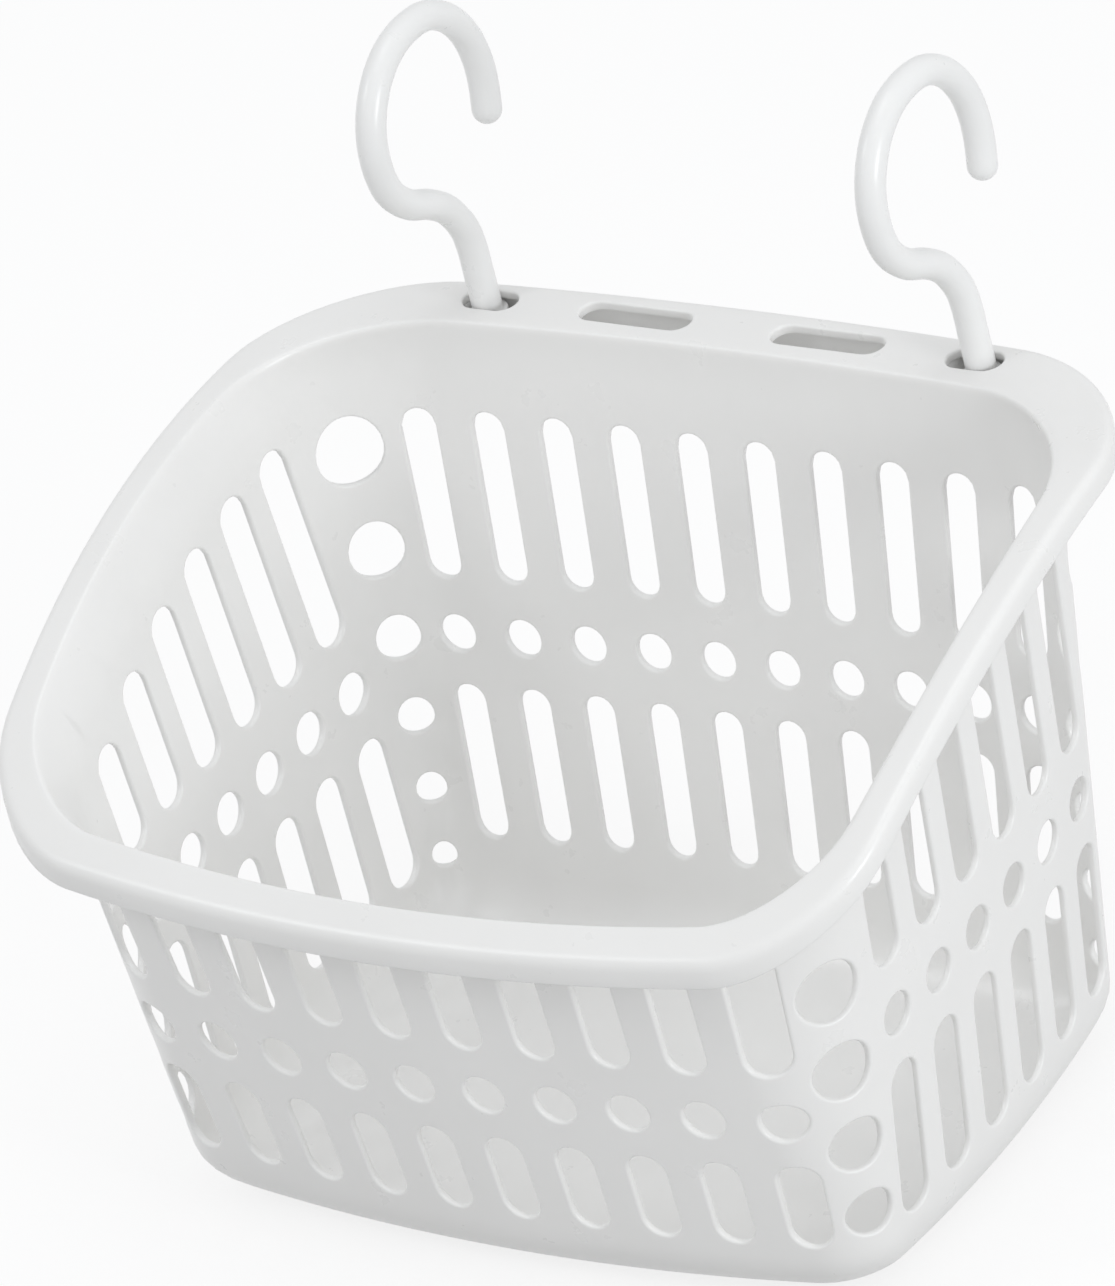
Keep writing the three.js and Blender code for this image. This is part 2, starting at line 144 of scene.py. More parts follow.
def rimLines(share, outward):
    grown = rim["cornerGrowth"] * share + outward
    return (rimHalfWidth + rim["sideBand"] * share + outward,
            rimRear + rim["ledgeDepth"] * share + outward,
            rimFront - rim["frontBand"] * share - outward,
            rim["rearCorner"] + grown, rim["frontCorner"] + grown)


# a place on the outline runs from 0 to 8: even stretches are corner arcs, odd ones straight sides
def outline(place, lines, bows):
    place = np.mod(np.asarray(place, float), 8)
    halfWidth, rear, front, rearRadius, frontRadius = [
        np.broadcast_to(np.asarray(line, float), place.shape) for line in lines]
    across, rear, front = halfWidth - bows[0], rear - bows[1], front + bows[2]
    rearRadius = np.maximum(rearRadius, tub["leastCorner"])
    frontRadius = np.maximum(frontRadius, tub["leastCorner"])
    stretch = np.minimum(np.floor(place).astype(int), 7)
    along = place - stretch
    corner = stretch // 2
    isArc = stretch % 2 == 0
    angle = (corner + np.where(isArc, along, 1.0)) * quarter

    def cornerPoint(index):
        isRear = index % 4 < 2
        radius = np.where(isRear, rearRadius, frontRadius)
        sideX = np.where((index % 4 == 0) | (index % 4 == 3), 1, -1)
        x = sideX * (across - radius)
        y = np.where(isRear, rear - radius, front + radius)
        return x + radius * np.cos(angle), y + radius * np.sin(angle)

    x0, y0 = cornerPoint(corner)
    x1, y1 = cornerPoint(corner + 1)
    share = np.where(isArc, 0.0, along)
    x = x0 + (x1 - x0) * share
    y = y0 + (y1 - y0) * share
    shareX = x / across
    shareY = (2 * y - rear - front) / (rear - front)
    bow = np.where(shareY > 0, bows[1], bows[2])
    return x + bows[0] * shareX * (1 - shareY ** 2), y + bow * shareY * (1 - shareX ** 2)


def rimPoint(place, share, outward, drop):
    x, y = outline(place, rimLines(share, outward), rim["bows"])
    return np.stack([x, y, rimHeight(y) - drop], -1)


def skin(place, height, outward):        # wall surface, flaring out to the rim near its top
    x, y = outline(place, wallLines(height, outward), tub["bows"])
    edge = rimPoint(place, 0, outward + tub["wall"] / 2, 0)
    rise = np.clip(1 - (edge[..., 2] - height) / tub["flareHeight"], 0, 1) ** 2
    return x + (edge[..., 0] - x) * rise, y + (edge[..., 1] - y) * rise


def footPoint(place, outward, turn):
    radius = tub["baseRound"] + outward - tub["wall"] / 2
    height = tub["baseRound"] - radius * math.cos(turn)
    inward = 1 - math.sin(turn)
    lines = wallLines(height, outward - radius * inward)
    growth = tub["footCorner"] * inward   # corners get rounder towards the floor
    x, y = outline(place, (*lines[:3], lines[3] + growth, lines[4] + growth), tub["bows"])
    return np.stack([x, y, np.full_like(x, height)], -1)


class Zone:
    # a stretch of wall seen square on: flat coordinates are across and height
    def __init__(self, angle, first, last, spreadHeight=None, lean=0, leanHeight=0):
        self.along = (-math.sin(angle), math.cos(angle))
        self.first, self.last, self.spreadHeight = first, last, spreadHeight
        self.lean, self.leanHeight = lean, leanHeight

    def spread(self, height):
        if self.spreadHeight is None:
            return 1.0
        return wallLines(height, 0)[0] / wallLines(self.spreadHeight, 0)[0]

    def shift(self, height):              # columns of a side wall lean forward below the holes
        return self.lean * np.maximum(0, self.leanHeight - height)

    def placeOf(self, flat):              # halving search on the middle of the wall
        target = flat[..., 0] * self.spread(flat[..., 1]) + self.shift(flat[..., 1])
        low = np.full(target.shape, float(self.first))
        high = np.full(target.shape, float(self.last))
        for _ in range(searchSteps):
            middle = (low + high) / 2
            x, y = skin(middle, flat[..., 1], 0)
            before = x * self.along[0] + y * self.along[1] < target
            low = np.where(before, middle, low)
            high = np.where(before, high, middle)
        return (low + high) / 2

    def locate(self, flat):               # gives the points at any distance outward
        place = self.placeOf(flat)

        def at(outward):
            x, y = skin(place, flat[..., 1], outward)
            return np.stack([x, y, flat[..., 1]], -1)

        return at

    def flatten(self, points):
        across = points[..., 0] * self.along[0] + points[..., 1] * self.along[1]
        across = (across - self.shift(points[..., 2])) / self.spread(points[..., 2])
        return np.stack([across, points[..., 2]], -1)


# mesh under construction: points and faces of one piece
class Sheet:
    def __init__(self):
        self.points, self.faces, self.count = [], [], 0

    def addRows(self, rows, closed=True, keep=None):
        width = len(rows[0])
        start = self.count
        for row in rows:
            self.points.append(np.asarray(row, float))
        self.count += width * len(rows)
        steps = width if closed else width - 1
        for level in range(len(rows) - 1):
            for step in range(steps):
                if keep is not None and not keep(level, step):
                    continue
                here = start + level * width + step
                over = start + level * width + (step + 1) % width
                self.faces.append((here, over, over + width, here + width))

    def addFan(self, row, centre, flip):
        start = self.count
        self.points.append(np.vstack([row, centre]))
        width = len(row)
        self.count += width + 1
        for step in range(width):
            here, over = start + step, start + (step + 1) % width
            face = (here, over, start + width)
            self.faces.append(face[::-1] if flip else face)

    def build(self, name):
        mesh = bpy.data.meshes.new(name)
        points = np.vstack(self.points) * millimetre
        mesh.from_pydata(points.tolist(), [], self.faces)
        work = bmesh.new()
        work.from_mesh(mesh)
        bmesh.ops.remove_doubles(work, verts=work.verts, dist=joinDistance * millimetre)
        bmesh.ops.dissolve_degenerate(work, edges=work.edges, dist=joinDistance / 2 * millimetre)
        bmesh.ops.recalc_face_normals(work, faces=work.faces)
        loose = sum(1 for edge in work.edges if not edge.is_manifold)
        print(name, "faces", len(work.faces), "open edges", loose)
        for face in work.faces:
            face.smooth = True
        work.to_mesh(mesh)
        work.free()
        piece = bpy.data.objects.new(name, mesh)
        bpy.context.scene.collection.objects.link(piece)
        return piece


def evenRays(ray):                        # spreads the rays around a round hole a little more evenly
    angle = np.unwrap(np.arctan2(ray[:, 1], ray[:, 0]))
    full = math.copysign(2 * math.pi, angle[-1] - angle[0])
    for _ in range(holes["raySmoothing"]):
        before, after = np.roll(angle, 1), np.roll(angle, -1)
        before[0] -= full
        after[-1] += full
        angle = angle / 2 + (before + after) / 4
    return np.stack([np.cos(angle), np.sin(angle)], -1)


def meshHole(sheet, locate, outerEdge, innerEdge, ends, radius, half, blend=holes["blend"]):
    # rings from the cell's edge over the outer face, through the hole and back over the inner
    low, high = np.asarray(ends[0], float), np.asarray(ends[1], float)
    middle = (outerEdge + innerEdge) / 2
    axis = high - low
    length2 = max(axis @ axis, 1e-12)
    share = np.clip((middle - low) @ axis / length2, 0, 1)[:, None]
    core = low + share * axis
    ray = middle - core
    ray /= np.linalg.norm(ray, axis=1)[:, None]
    if length2 < 1e-6:
        ray = evenRays(ray)
    rounding = holes["edgeRound"]
    held = core + ray * (radius + rounding + holes["hold"])

    turns = [quarter * step / holes["edgeSteps"] for step in range(holes["edgeSteps"] + 1)]
    rounded = [(locate(core + ray * (radius + rounding * (1 - math.sin(turn)))),
                half - rounding * (1 - math.cos(turn))) for turn in turns]

    def sideRows(edge, side):
        flats = [edge] + [edge * k + held * (1 - k) for k in blend] + [held]
        return [locate(flat)(side * half) for flat in flats] + [at(side * out) for at, out in rounded]

    sheet.addRows(sideRows(outerEdge, 1) + sideRows(innerEdge, -1)[::-1])


def loopOf(bottom, right, top, left):     # closed loop from four edges that share their ends
    return np.vstack([bottom[:-1], right[:-1], top[:-1], left[:-1]])


def uprightShares(marks):
    heights = [np.linspace(marks[i], marks[i + 1], n + 1)[:-1]
               for i, n in enumerate(holes["upright"])]
    return np.concatenate(heights + [[marks[-1]]])


def topHeights(zone, across):
    height = np.full(len(across), holes["topStart"])
    for _ in range(holes["topSearch"]):
        place = zone.placeOf(np.stack([across, height], -1))
        height = rimPoint(place, 0, 0, 0)[:, 2] - rim["wallTop"]
    return height


def wallMarks(rows, slotWidth, holeWidth, slotTop, top):
    lowSlot, holeHeight, highSlot = rows
    round_ = slotWidth / 2
    under = (lowSlot[1] + holeHeight - holeWidth / 2) / 2
    over = (holeHeight + holeWidth / 2 + highSlot[0]) / 2
    return [tub["baseRound"], lowSlot[0] + round_, lowSlot[1] - round_, under, over,
            highSlot[0] + round_, slotTop - round_, top]


topLines, baseLines = [], []       # flat edge of each column at the wall's top and foot, going round


def columnOfSlots(sheet, zone, left, right, centre, rows, slotWidth, holeWidth, slotTopOf):
    # one column of the wall: low slot, round hole, high slot
    steps = np.linspace(left, right, holes["across"] + 1)
    tops = topHeights(zone, steps)
    marks = [wallMarks(rows, slotWidth, holeWidth, slotTopOf(a), t) for a, t in zip(steps, tops)]
    grid = np.array([uprightShares(m) for m in marks])      # step across, step up
    up = np.cumsum((0,) + holes["upright"])
    cells = ((up[0], up[3]), (up[3], up[4]), (up[4], up[7]))
    middle = wallMarks(rows, slotWidth, holeWidth, slotTopOf(centre), 0)
    ends = ((middle[1], middle[2]), (rows[1], rows[1]), (middle[5], middle[6]))
    widths = (slotWidth, holeWidth, slotWidth)
    for (first, last), (low, high), width in zip(cells, ends, widths):
        bottom = np.stack([steps, grid[:, first]], -1)
        top = np.stack([steps, grid[:, last]], -1)[::-1]
        rightEdge = np.stack([np.full(last - first + 1, right), grid[-1, first:last + 1]], -1)
        leftEdge = np.stack([np.full(last - first + 1, left), grid[0, first:last + 1]], -1)[::-1]
        edge = loopOf(bottom, rightEdge, top, leftEdge)
        meshHole(sheet, zone.locate, edge, edge, ((centre, low), (centre, high)), width / 2,
                 tub["wall"] / 2)
    topLines.append((zone, np.stack([steps, grid[:, -1]], -1)))
    baseLines.append((zone, np.stack([steps, grid[:, 0]], -1)))
    return [zone.locate(np.stack([np.full(grid.shape[1], across), heights], -1))(0)
            for across, heights in ((left, grid[0]), (right, grid[-1]))]


def cornerColumn(sheet, zone, corner, before, after, hole, topHole, web, shares, turns):
    # round holes down a corner, between the last column before it and the first one after
    sizes = [hole * share for share in shares]
    heights = [topHole]
    for upper, lower in zip(sizes, sizes[1:]):
        heights.append(heights[-1] - (upper + lower) / 2 - web)
    left, right = zone.flatten(before[1]), zone.flatten(after[0])
    mean = (left[:, 1] + right[:, 1]) / 2
    last = len(mean) - 1
    cuts, lines = [0], [None]
    for k in range(len(sizes) - 1, 0, -1):
        between = (heights[k] + sizes[k] / 2 + heights[k - 1] - sizes[k - 1] / 2) / 2
        nearest = int(np.argmin(np.abs(mean[1:-1] - between))) + 1
        cuts.append(max(nearest, cuts[-1] + 1))
        lines.append(between)
    cuts.append(last)
    lines.append(None)
    share = np.linspace(0, 1, holes["across"] + 1)[:, None]

    def level(index, passing):
        row = left[index] * (1 - share) + right[index] * share
        if passing is not None:
            row[:, 1] += (passing - mean[index]) * np.sin(math.pi * share[:, 0])
        elif index == last:
            row[1:-1, 1] = topHeights(zone, row[1:-1, 0])
        return row

    for k, (size, height) in enumerate(zip(sizes[::-1], heights[::-1])):
        first, final = cuts[k], cuts[k + 1]
        rise = (height - heights[-1]) / (heights[0] - heights[-1])
        turn = turns[1] + (turns[0] - turns[1]) * rise
        place = 2 * corner + (turn if corner in (0, 2) else 1 - turn)
        x, y = skin(np.array([place]), height, 0)
        centre = (float(x[0] * zone.along[0] + y[0] * zone.along[1]), height)
        edge = loopOf(level(first, lines[k]), right[first:final + 1],
                      level(final, lines[k + 1])[::-1], left[first:final + 1][::-1])
        meshHole(sheet, zone.locate, edge, edge, (centre, centre), size / 2, tub["wall"] / 2,
                 blend=holes["cornerBlend"])
    topLines.append((zone, level(last, None)))
    baseLines.append((zone, level(0, None)))


def bend(start, corner, end, steps):      # rows of a rounded corner between two rows
    rows = []
    for step in range(steps + 1):
        t = step / steps
        rows.append(start * (1 - t) ** 2 + corner * 2 * t * (1 - t) + end * t * t)
    return rows


def skirtDepthAt(places):                 # deeper behind the rear wall, changing over the rear corners
    rearMiddle = 1.5
    fromRear = np.abs(np.mod(places - rearMiddle + 4, 8) - 4) - 0.5
    share = np.clip(fromRear, 0, 1)
    return rim["ledgeSkirt"] + (rim["skirtDepth"] - rim["ledgeSkirt"]) * share


ledge = dict(slotLength=27.0, slotWidth=7.0, slotOffset=23.7, seatLength=13.0, seatWidth=7.3,
             seatOffset=59.7, seatInset=7.4)


def aroundWall(lines):                    # places and both faces of the wall along joined flat edges
    spots = [zone.locate(flat[:-1]) for zone, flat in lines]
    places = np.concatenate([zone.placeOf(flat[:-1]) for zone, flat in lines])
    half = tub["wall"] / 2
    return places, np.vstack([at(half) for at in spots]), np.vstack([at(-half) for at in spots])


def makeRim(sheet, ledgeEnd):
    places, outer, inner = aroundWall(topLines)
    skirt = skirtDepthAt(places)
    wall, flange, under = tub["wall"], rim["flange"], rim["skirtWall"]
    small = rim["edgeRound"]
    join = rimPoint(places, 0, wall, flange)
    shareRows = [step / rim["bandRows"] for step in range(rim["bandRows"] + 1)]

    def band(fromShare, fromOut, toShare, toOut, drop):
        rows = []
        for t in shareRows:
            share = fromShare + (toShare - fromShare) * t
            rows.append(rimPoint(places, share, fromOut + (toOut - fromOut) * t, drop))
        return rows

    underside = band(0, wall + small, 1, -under - small, flange)
    rows = bend(outer, join, underside[0], 3)[:-1]
    underStart = len(rows)
    rows += underside
    rows += bend(underside[-1], rimPoint(places, 1, -under, flange),
                 rimPoint(places, 1, -under, flange + rim["lipStep"]), 2)[1:]
    lip = rimPoint(places, 1, -under / 2, skirt)
    rows += bend(rimPoint(places, 1, -under, skirt - small), rimPoint(places, 1, -under, skirt), lip, 3)
    rows += bend(lip, rimPoint(places, 1, 0, skirt), rimPoint(places, 1, 0, skirt - small), 3)[1:]
    outerRound = rim["outerRound"]
    top = band(1, -outerRound, 0, rim["innerRound"], 0)
    rows += bend(rimPoint(places, 1, 0, np.minimum(outerRound, skirt - small)),
                 rimPoint(places, 1, 0, 0), top[0], 6)[:-1]
    topStart = len(rows)
    rows += top
    nearTop = inner * (1 - rim["topShare"]) + rimPoint(places, 0, 0, 0) * rim["topShare"]
    rows += bend(top[-1], rimPoint(places, 0, 0, 0), nearTop, 5)[1:]
    rows.append(inner)
    bandRows = rim["bandRows"]

    def keep(level, step):
        inBand = underStart <= level < underStart + bandRows or topStart <= level < topStart + bandRows
        return not (step < ledgeEnd and inBand)

    sheet.addRows(rows, keep=keep)
    return rows[underStart:underStart + bandRows + 1], rows[topStart:topStart + bandRows + 1][::-1]


def makeLedge(sheet, underside, top):
    # flat ledge behind the rear wall, in four cells: seat, slot, slot, seat
    count = holes["across"]
    seatY = rimRear + ledge["seatInset"]
    slotY = rimRear + rim["ledgeDepth"] / 2
    half = rim["flange"] / 2
    cells = ((0, 2, ledge["seatOffset"], seatY, ledge["seatLength"], ledge["seatWidth"]),
             (2, 5, ledge["slotOffset"], slotY, ledge["slotLength"], ledge["slotWidth"]),
             (5, 8, -ledge["slotOffset"], slotY, ledge["slotLength"], ledge["slotWidth"]),
             (8, 10, -ledge["seatOffset"], seatY, ledge["seatLength"], ledge["seatWidth"]))

    def plate(flat):
        height = tub["ledgeHeight"] - half
        return lambda outward: np.stack([flat[:, 0], flat[:, 1], np.full(len(flat), height + outward)], -1)

    for start, end, x, y, length, width in cells:
        span = slice(start * count, end * count + 1)
        edges = []
        for rows in (top, underside):
            inner = rows[0][span][::-1, :2]
            outer = rows[-1][span][:, :2]
            rightEdge = np.array([row[span][0, :2] for row in rows])
            leftEdge = np.array([row[span][-1, :2] for row in rows])[::-1]
            edges.append(loopOf(inner, rightEdge, outer, leftEdge))
        reach = (length - width) / 2
        meshHole(sheet, plate, edges[0], edges[1], ((x - reach, y), (x + reach, y)), width / 2, half)


def makeBase(sheet):
    places, outer, inner = aroundWall(baseLines)
    wall = tub["wall"]
    turns = [quarter * step / tub["footSteps"] for step in range(tub["footSteps"] + 1)]
    shares = tub["floorShares"]
    lowRows = [footPoint(places, wall / 2, turn) for turn in turns]
    lowRows[-1] = outer
    flat = [lowRows[0] * (share, share, 1) for share in shares][::-1]
    sheet.addRows(flat + lowRows)
    sheet.addFan(flat[0], (0, 0, flat[0][0, 2]), flip=True)
    highRows = [footPoint(places, -wall / 2, turn) for turn in turns][::-1]
    highRows[0] = inner
    flat = [highRows[-1] * (share, share, 1) for share in shares]
    sheet.addRows(highRows + flat)
    sheet.addFan(flat[-1], (0, 0, flat[-1][0, 2]), flip=False)


def makeTub():
    sheet = Sheet()
    rearZone = Zone(quarter, 0.02, 2.98, holes["rearRows"][1])
    leftZone = Zone(2 * quarter, 2.02, 4.98, None, holes["sideLean"], holes["sideRows"][1])
    frontZone = Zone(3 * quarter, 4.02, 6.98, holes["frontRows"][1])
    rightZone = Zone(4 * quarter, 6.02, 8.98, None, -holes["sideLean"], holes["sideRows"][1])

    def boundaries(count, pitch, edge):
        inner = [(k - count / 2) * pitch for k in range(1, count)]
        return [-edge] + inner + [edge]

    def wallOf(zone, marks, centres, rows, slotWidth, holeWidth, slotTopOf):
        return [columnOfSlots(sheet, zone, left, right, centre, rows, slotWidth, holeWidth, slotTopOf)
                for left, right, centre in zip(marks, marks[1:], centres)]

    def crossWall(name, zone):
        count, pitch = holes[name + "Columns"], holes[name + "Pitch"]
        marks = boundaries(count, pitch, holes[name + "Edge"])
        centres = [(k - (count - 1) / 2) * pitch for k in range(count)]
        rows = holes[name + "Rows"]
        return wallOf(zone, marks, centres, rows, holes[name + "Slot"], holes[name + "Hole"],
                      lambda across: rows[2][1])

    def sideWall(zone, sign):
        count, pitch = holes["sideColumns"], holes["sidePitch"]
        centres = [holes["sideFirst"] - k * pitch for k in range(count)]
        rearEdge, frontEdge = holes["sideEdges"]
        between = [holes["sideFirst"] - (k + 0.5) * pitch for k in range(count - 1)]
        marks = [rearEdge] + between + [frontEdge]

        def slotTop(across):
            y = sign * across
            return float(rimHeight(y) - holes["sideToRim"] - holes["sideDip"] * slopeShare(y) ** 3)

        marks, centres = [sign * m for m in marks], [sign * c for c in centres]
        if sign == 1:
            marks, centres = marks[::-1], centres[::-1]
        return wallOf(zone, marks, centres, holes["sideRows"], holes["sideSlot"],
                      holes["sideHole"], slotTop)

    def cornerOf(corner, before, after, name):
        turns = holes[name + "CornerTurns"]
        turn = 0.5 if name == "rear" else turns[0]
        angle = (corner + (turn if corner in (0, 2) else 1 - turn)) * quarter
        zone = Zone(angle, 2 * corner - 0.97, 2 * corner + 1.97)
        cornerColumn(sheet, zone, corner, before, after, holes[name + "CornerHole"],
                     holes[name + "CornerTop"], holes[name + "CornerWeb"],
                     holes[name + "CornerShares"], turns)

    # each corner needs the walls on both its sides, so the four come last and are then put in place
    rear = crossWall("rear", rearZone)
    left = sideWall(leftZone, -1)
    front = crossWall("front", frontZone)
    right = sideWall(rightZone, 1)
    cornerOf(1, rear[-1], left[0], "rear")
    cornerOf(2, left[-1], front[0], "front")
    cornerOf(3, front[-1], right[0], "front")
    cornerOf(0, right[-1], rear[0], "rear")
    for lines in (topLines, baseLines):
        corners = lines[-4:]
        rest = lines[:-4]
        lines.clear()
        for wall, corner in zip((rear, left, front, right), corners):
            lines += rest[:len(wall)] + [corner]
            rest = rest[len(wall):]
    underside, top = makeRim(sheet, len(rear) * holes["across"])
    makeLedge(sheet, underside, top)
    makeBase(sheet)
    return sheet.build("basket_tub")


def cupSheet(name, low, high, wall, edgeRound):
    # cup of thin walls, open on top, with every edge rounded
    work = bmesh.new()
    loops = []
    for inset, height in ((0, low[2]), (0, high[2]), (wall, high[2]), (wall, low[2] + wall)):
        left, front = low[0] + inset, low[1] + inset
        right, rear = high[0] - inset, high[1] - inset
        corners = [(left, front), (right, front), (right, rear), (left, rear)]
        loops.append([work.verts.new((x * millimetre, y * millimetre, height * millimetre))
                      for x, y in corners])
    for lower, upper in zip(loops, loops[1:]):
        for k in range(4):
            work.faces.new((lower[k], lower[(k + 1) % 4], upper[(k + 1) % 4], upper[k]))
    work.faces.new(loops[0][::-1])
    work.faces.new(loops[-1])
    bmesh.ops.recalc_face_normals(work, faces=work.faces)
    bmesh.ops.bevel(work, geom=list(work.edges), offset=edgeRound * millimetre, segments=2,
                    profile=0.5, affect='EDGES', clamp_overlap=True)
    mesh = bpy.data.meshes.new(name)
    for face in work.faces:
        face.smooth = True
    work.to_mesh(mesh)
    work.free()
    piece = bpy.data.objects.new(name, mesh)
    bpy.context.scene.collection.objects.link(piece)
    return piece


# closed cups under the ledge that hold the hooks' feet
socket = dict(halfLength=6.5, wall=1.6, halfDepth=4.8, floor=131.35, top=137.2, edgeRound=0.4)


def makeSocket(name, side):
    x = side * ledge["seatOffset"]
    y = rimRear + ledge["seatInset"]
    reach, depth = socket["halfLength"] + socket["wall"], socket["halfDepth"] + socket["wall"]
    return cupSheet(name, (x - reach, y - depth, socket["floor"]),
                    (x + reach, y + depth, socket["top"]), socket["wall"], socket["edgeRound"])


# hooks: a round rod along one smooth path, from the tip over the loop and down to the foot
hook = dict(
    spacing=121.8, inset=7.4, rod=3.25, loopRadius=20.2, loopHeight=48.0, setback=3.2,
    sides=28, steps=150, splineSteps=20, capSteps=8,
    footRadius=4.25, footTop=-2.55, footHeight=3.0, footTaper=0.8, footEdge=0.2,
    pathShares=((0.97, -0.55), (1.02, -0.27), (1.02, 0.02), (0.93, 0.37), (0.71, 0.70), (0.38, 0.93),
                (0, 1), (-0.38, 0.94), (-0.71, 0.73), (-0.94, 0.39), (-1.01, 0), (-0.93, -0.4),
                (-0.67, -0.71), (-0.36, -0.9), (-0.11, -1.11), (0.04, -1.33), (0.125, -1.53)),
    stemShares=(-1.78, -2.05),
)


def smoothPath(points, steps):            # centripetal spline through the points, evenly stepped
    points = np.asarray(points, float)
    points = np.vstack([2 * points[0] - points[1], points, 2 * points[-1] - points[-2]])
    fine = []
    for a, b, c, d in zip(points, points[1:], points[2:], points[3:]):
        t = np.cumsum([0] + [math.sqrt(np.linalg.norm(q - p)) for p, q in ((a, b), (b, c), (c, d))])
        for s in np.linspace(t[1], t[2], hook["splineSteps"], endpoint=False):
            a1 = (t[1] - s) / (t[1] - t[0]) * a + (s - t[0]) / (t[1] - t[0]) * b
            a2 = (t[2] - s) / (t[2] - t[1]) * b + (s - t[1]) / (t[2] - t[1]) * c
            a3 = (t[3] - s) / (t[3] - t[2]) * c + (s - t[2]) / (t[3] - t[2]) * d
            b1 = (t[2] - s) / (t[2] - t[0]) * a1 + (s - t[0]) / (t[2] - t[0]) * a2
            b2 = (t[3] - s) / (t[3] - t[1]) * a2 + (s - t[1]) / (t[3] - t[1]) * a3
            fine.append((t[2] - s) / (t[2] - t[1]) * b1 + (s - t[1]) / (t[2] - t[1]) * b2)
    fine.append(points[-2])
    fine = np.array(fine)
    length = np.concatenate([[0], np.cumsum(np.linalg.norm(np.diff(fine, axis=0), axis=1))])
    even = np.linspace(0, length[-1], steps + 1)
    return np.stack([np.interp(even, length, fine[:, k]) for k in range(fine.shape[1])], -1)


def makeHook(name, side):
    radius, height = hook["loopRadius"], hook["loopHeight"]
    flat = [(back * radius - hook["setback"], up * radius + height) for back, up in hook["pathShares"]]
    flat += [(0, height + share * radius) for share in hook["stemShares"]]
    flat.append((0, hook["footTop"]))
    path = smoothPath(flat, hook["steps"])
    tangent = np.gradient(path, axis=0)
    tangent /= np.linalg.norm(tangent, axis=1)[:, None]
    normal = np.stack([-tangent[:, 1], tangent[:, 0]], -1)
    centreX = side * hook["spacing"] / 2
    centreY = rimRear + hook["inset"]
    turns = np.linspace(0, 2 * math.pi, hook["sides"], endpoint=False)

    def ring(point, out, size):
        y = point[0] + out[0] * size * np.sin(turns)
        z = point[1] + out[1] * size * np.sin(turns)
        x = size * np.cos(turns)
        return np.stack([centreX + x, centreY + y, tub["ledgeHeight"] + z], -1)

    sheet = Sheet()
    rows = []
    for step in range(1, hook["capSteps"]):       # round tip
        turn = quarter * step / hook["capSteps"]
        start = path[0] - tangent[0] * hook["rod"] * math.cos(turn)
        rows.append(ring(start, normal[0], hook["rod"] * math.sin(turn)))
    rows += [ring(point, out, hook["rod"]) for point, out in zip(path, normal)]
    foot = path[-1]
    low = foot[1] - hook["footHeight"]
    lip, taper, edge = hook["footRadius"], hook["footTaper"], hook["footEdge"]
    for size, level in ((lip - edge, foot[1]), (lip, foot[1] - edge), (lip, low + taper),
                        (lip - taper, low), (lip - 2 * taper, low)):
        rows.append(ring((foot[0], level), normal[-1], size))
    sheet.addRows(rows)
    tip = path[0] - tangent[0] * hook["rod"]
    tipPoint = (centreX, centreY + tip[0], tub["ledgeHeight"] + tip[1])
    sheet.addFan(rows[0], tipPoint, flip=True)
    sheet.addFan(rows[-1], (centreX, centreY, tub["ledgeHeight"] + low), flip=False)
    return sheet.build(name)


# plastic: near white, faintly cloudy, with a fine moulded grain and slow waves
def plastic(name, look):
    material = bpy.data.materials.new(name)
    material.use_nodes = True
    nodes, links = material.node_tree.nodes, material.node_tree.links
    shader = nodes["Principled BSDF"]
    shader.inputs["IOR"].default_value = 1.49
    shader.inputs["Specular IOR Level"].default_value = look["gloss"]
    shader.inputs["Subsurface Weight"].default_value = look["cloud"]
    shader.inputs["Subsurface Radius"].default_value = (1.0, 0.97, 0.93)
    shader.inputs["Subsurface Scale"].default_value = look["cloudDepth"] * millimetre
    coords = nodes.new("ShaderNodeTexCoord")

    def noise(size, detail, rough):
        node = nodes.new("ShaderNodeTexNoise")
        node.inputs["Scale"].default_value = 1 / (size * millimetre)
        node.inputs["Detail"].default_value = detail
        node.inputs["Roughness"].default_value = rough
        links.new(coords.outputs["Object"], node.inputs["Vector"])
        return node

    clouds = noise(look["cloudSize"], 3, 0.55)
    tint = nodes.new("ShaderNodeMix")
    tint.data_type = 'RGBA'
    tint.inputs["A"].default_value = (*look["dark"], 1)
    tint.inputs["B"].default_value = (*look["light"], 1)
    links.new(clouds.outputs["Fac"], tint.inputs["Factor"])
    links.new(tint.outputs["Result"], shader.inputs["Base Color"])
    wear = noise(look["wearSize"], 4, 0.6)
    ranged = nodes.new("ShaderNodeMapRange")
    ranged.inputs["To Min"].default_value = look["roughness"][0]
    ranged.inputs["To Max"].default_value = look["roughness"][1]
    links.new(wear.outputs["Fac"], ranged.inputs["Value"])
    links.new(ranged.outputs["Result"], shader.inputs["Roughness"])
    grain = noise(look["grainSize"], 2, 0.5)
    waves = noise(look["waveSize"], 2, 0.5)
    fine = nodes.new("ShaderNodeBump")
    fine.inputs["Strength"].default_value = look["grainStrength"]
    fine.inputs["Distance"].default_value = look["grainDepth"] * millimetre
    slow = nodes.new("ShaderNodeBump")
    slow.inputs["Strength"].default_value = look["waveStrength"]
    slow.inputs["Distance"].default_value = look["waveDepth"] * millimetre
    links.new(waves.outputs["Fac"], slow.inputs["Height"])
    links.new(grain.outputs["Fac"], fine.inputs["Height"])
    links.new(slow.outputs["Normal"], fine.inputs["Normal"])
    links.new(fine.outputs["Normal"], shader.inputs["Normal"])
    return material


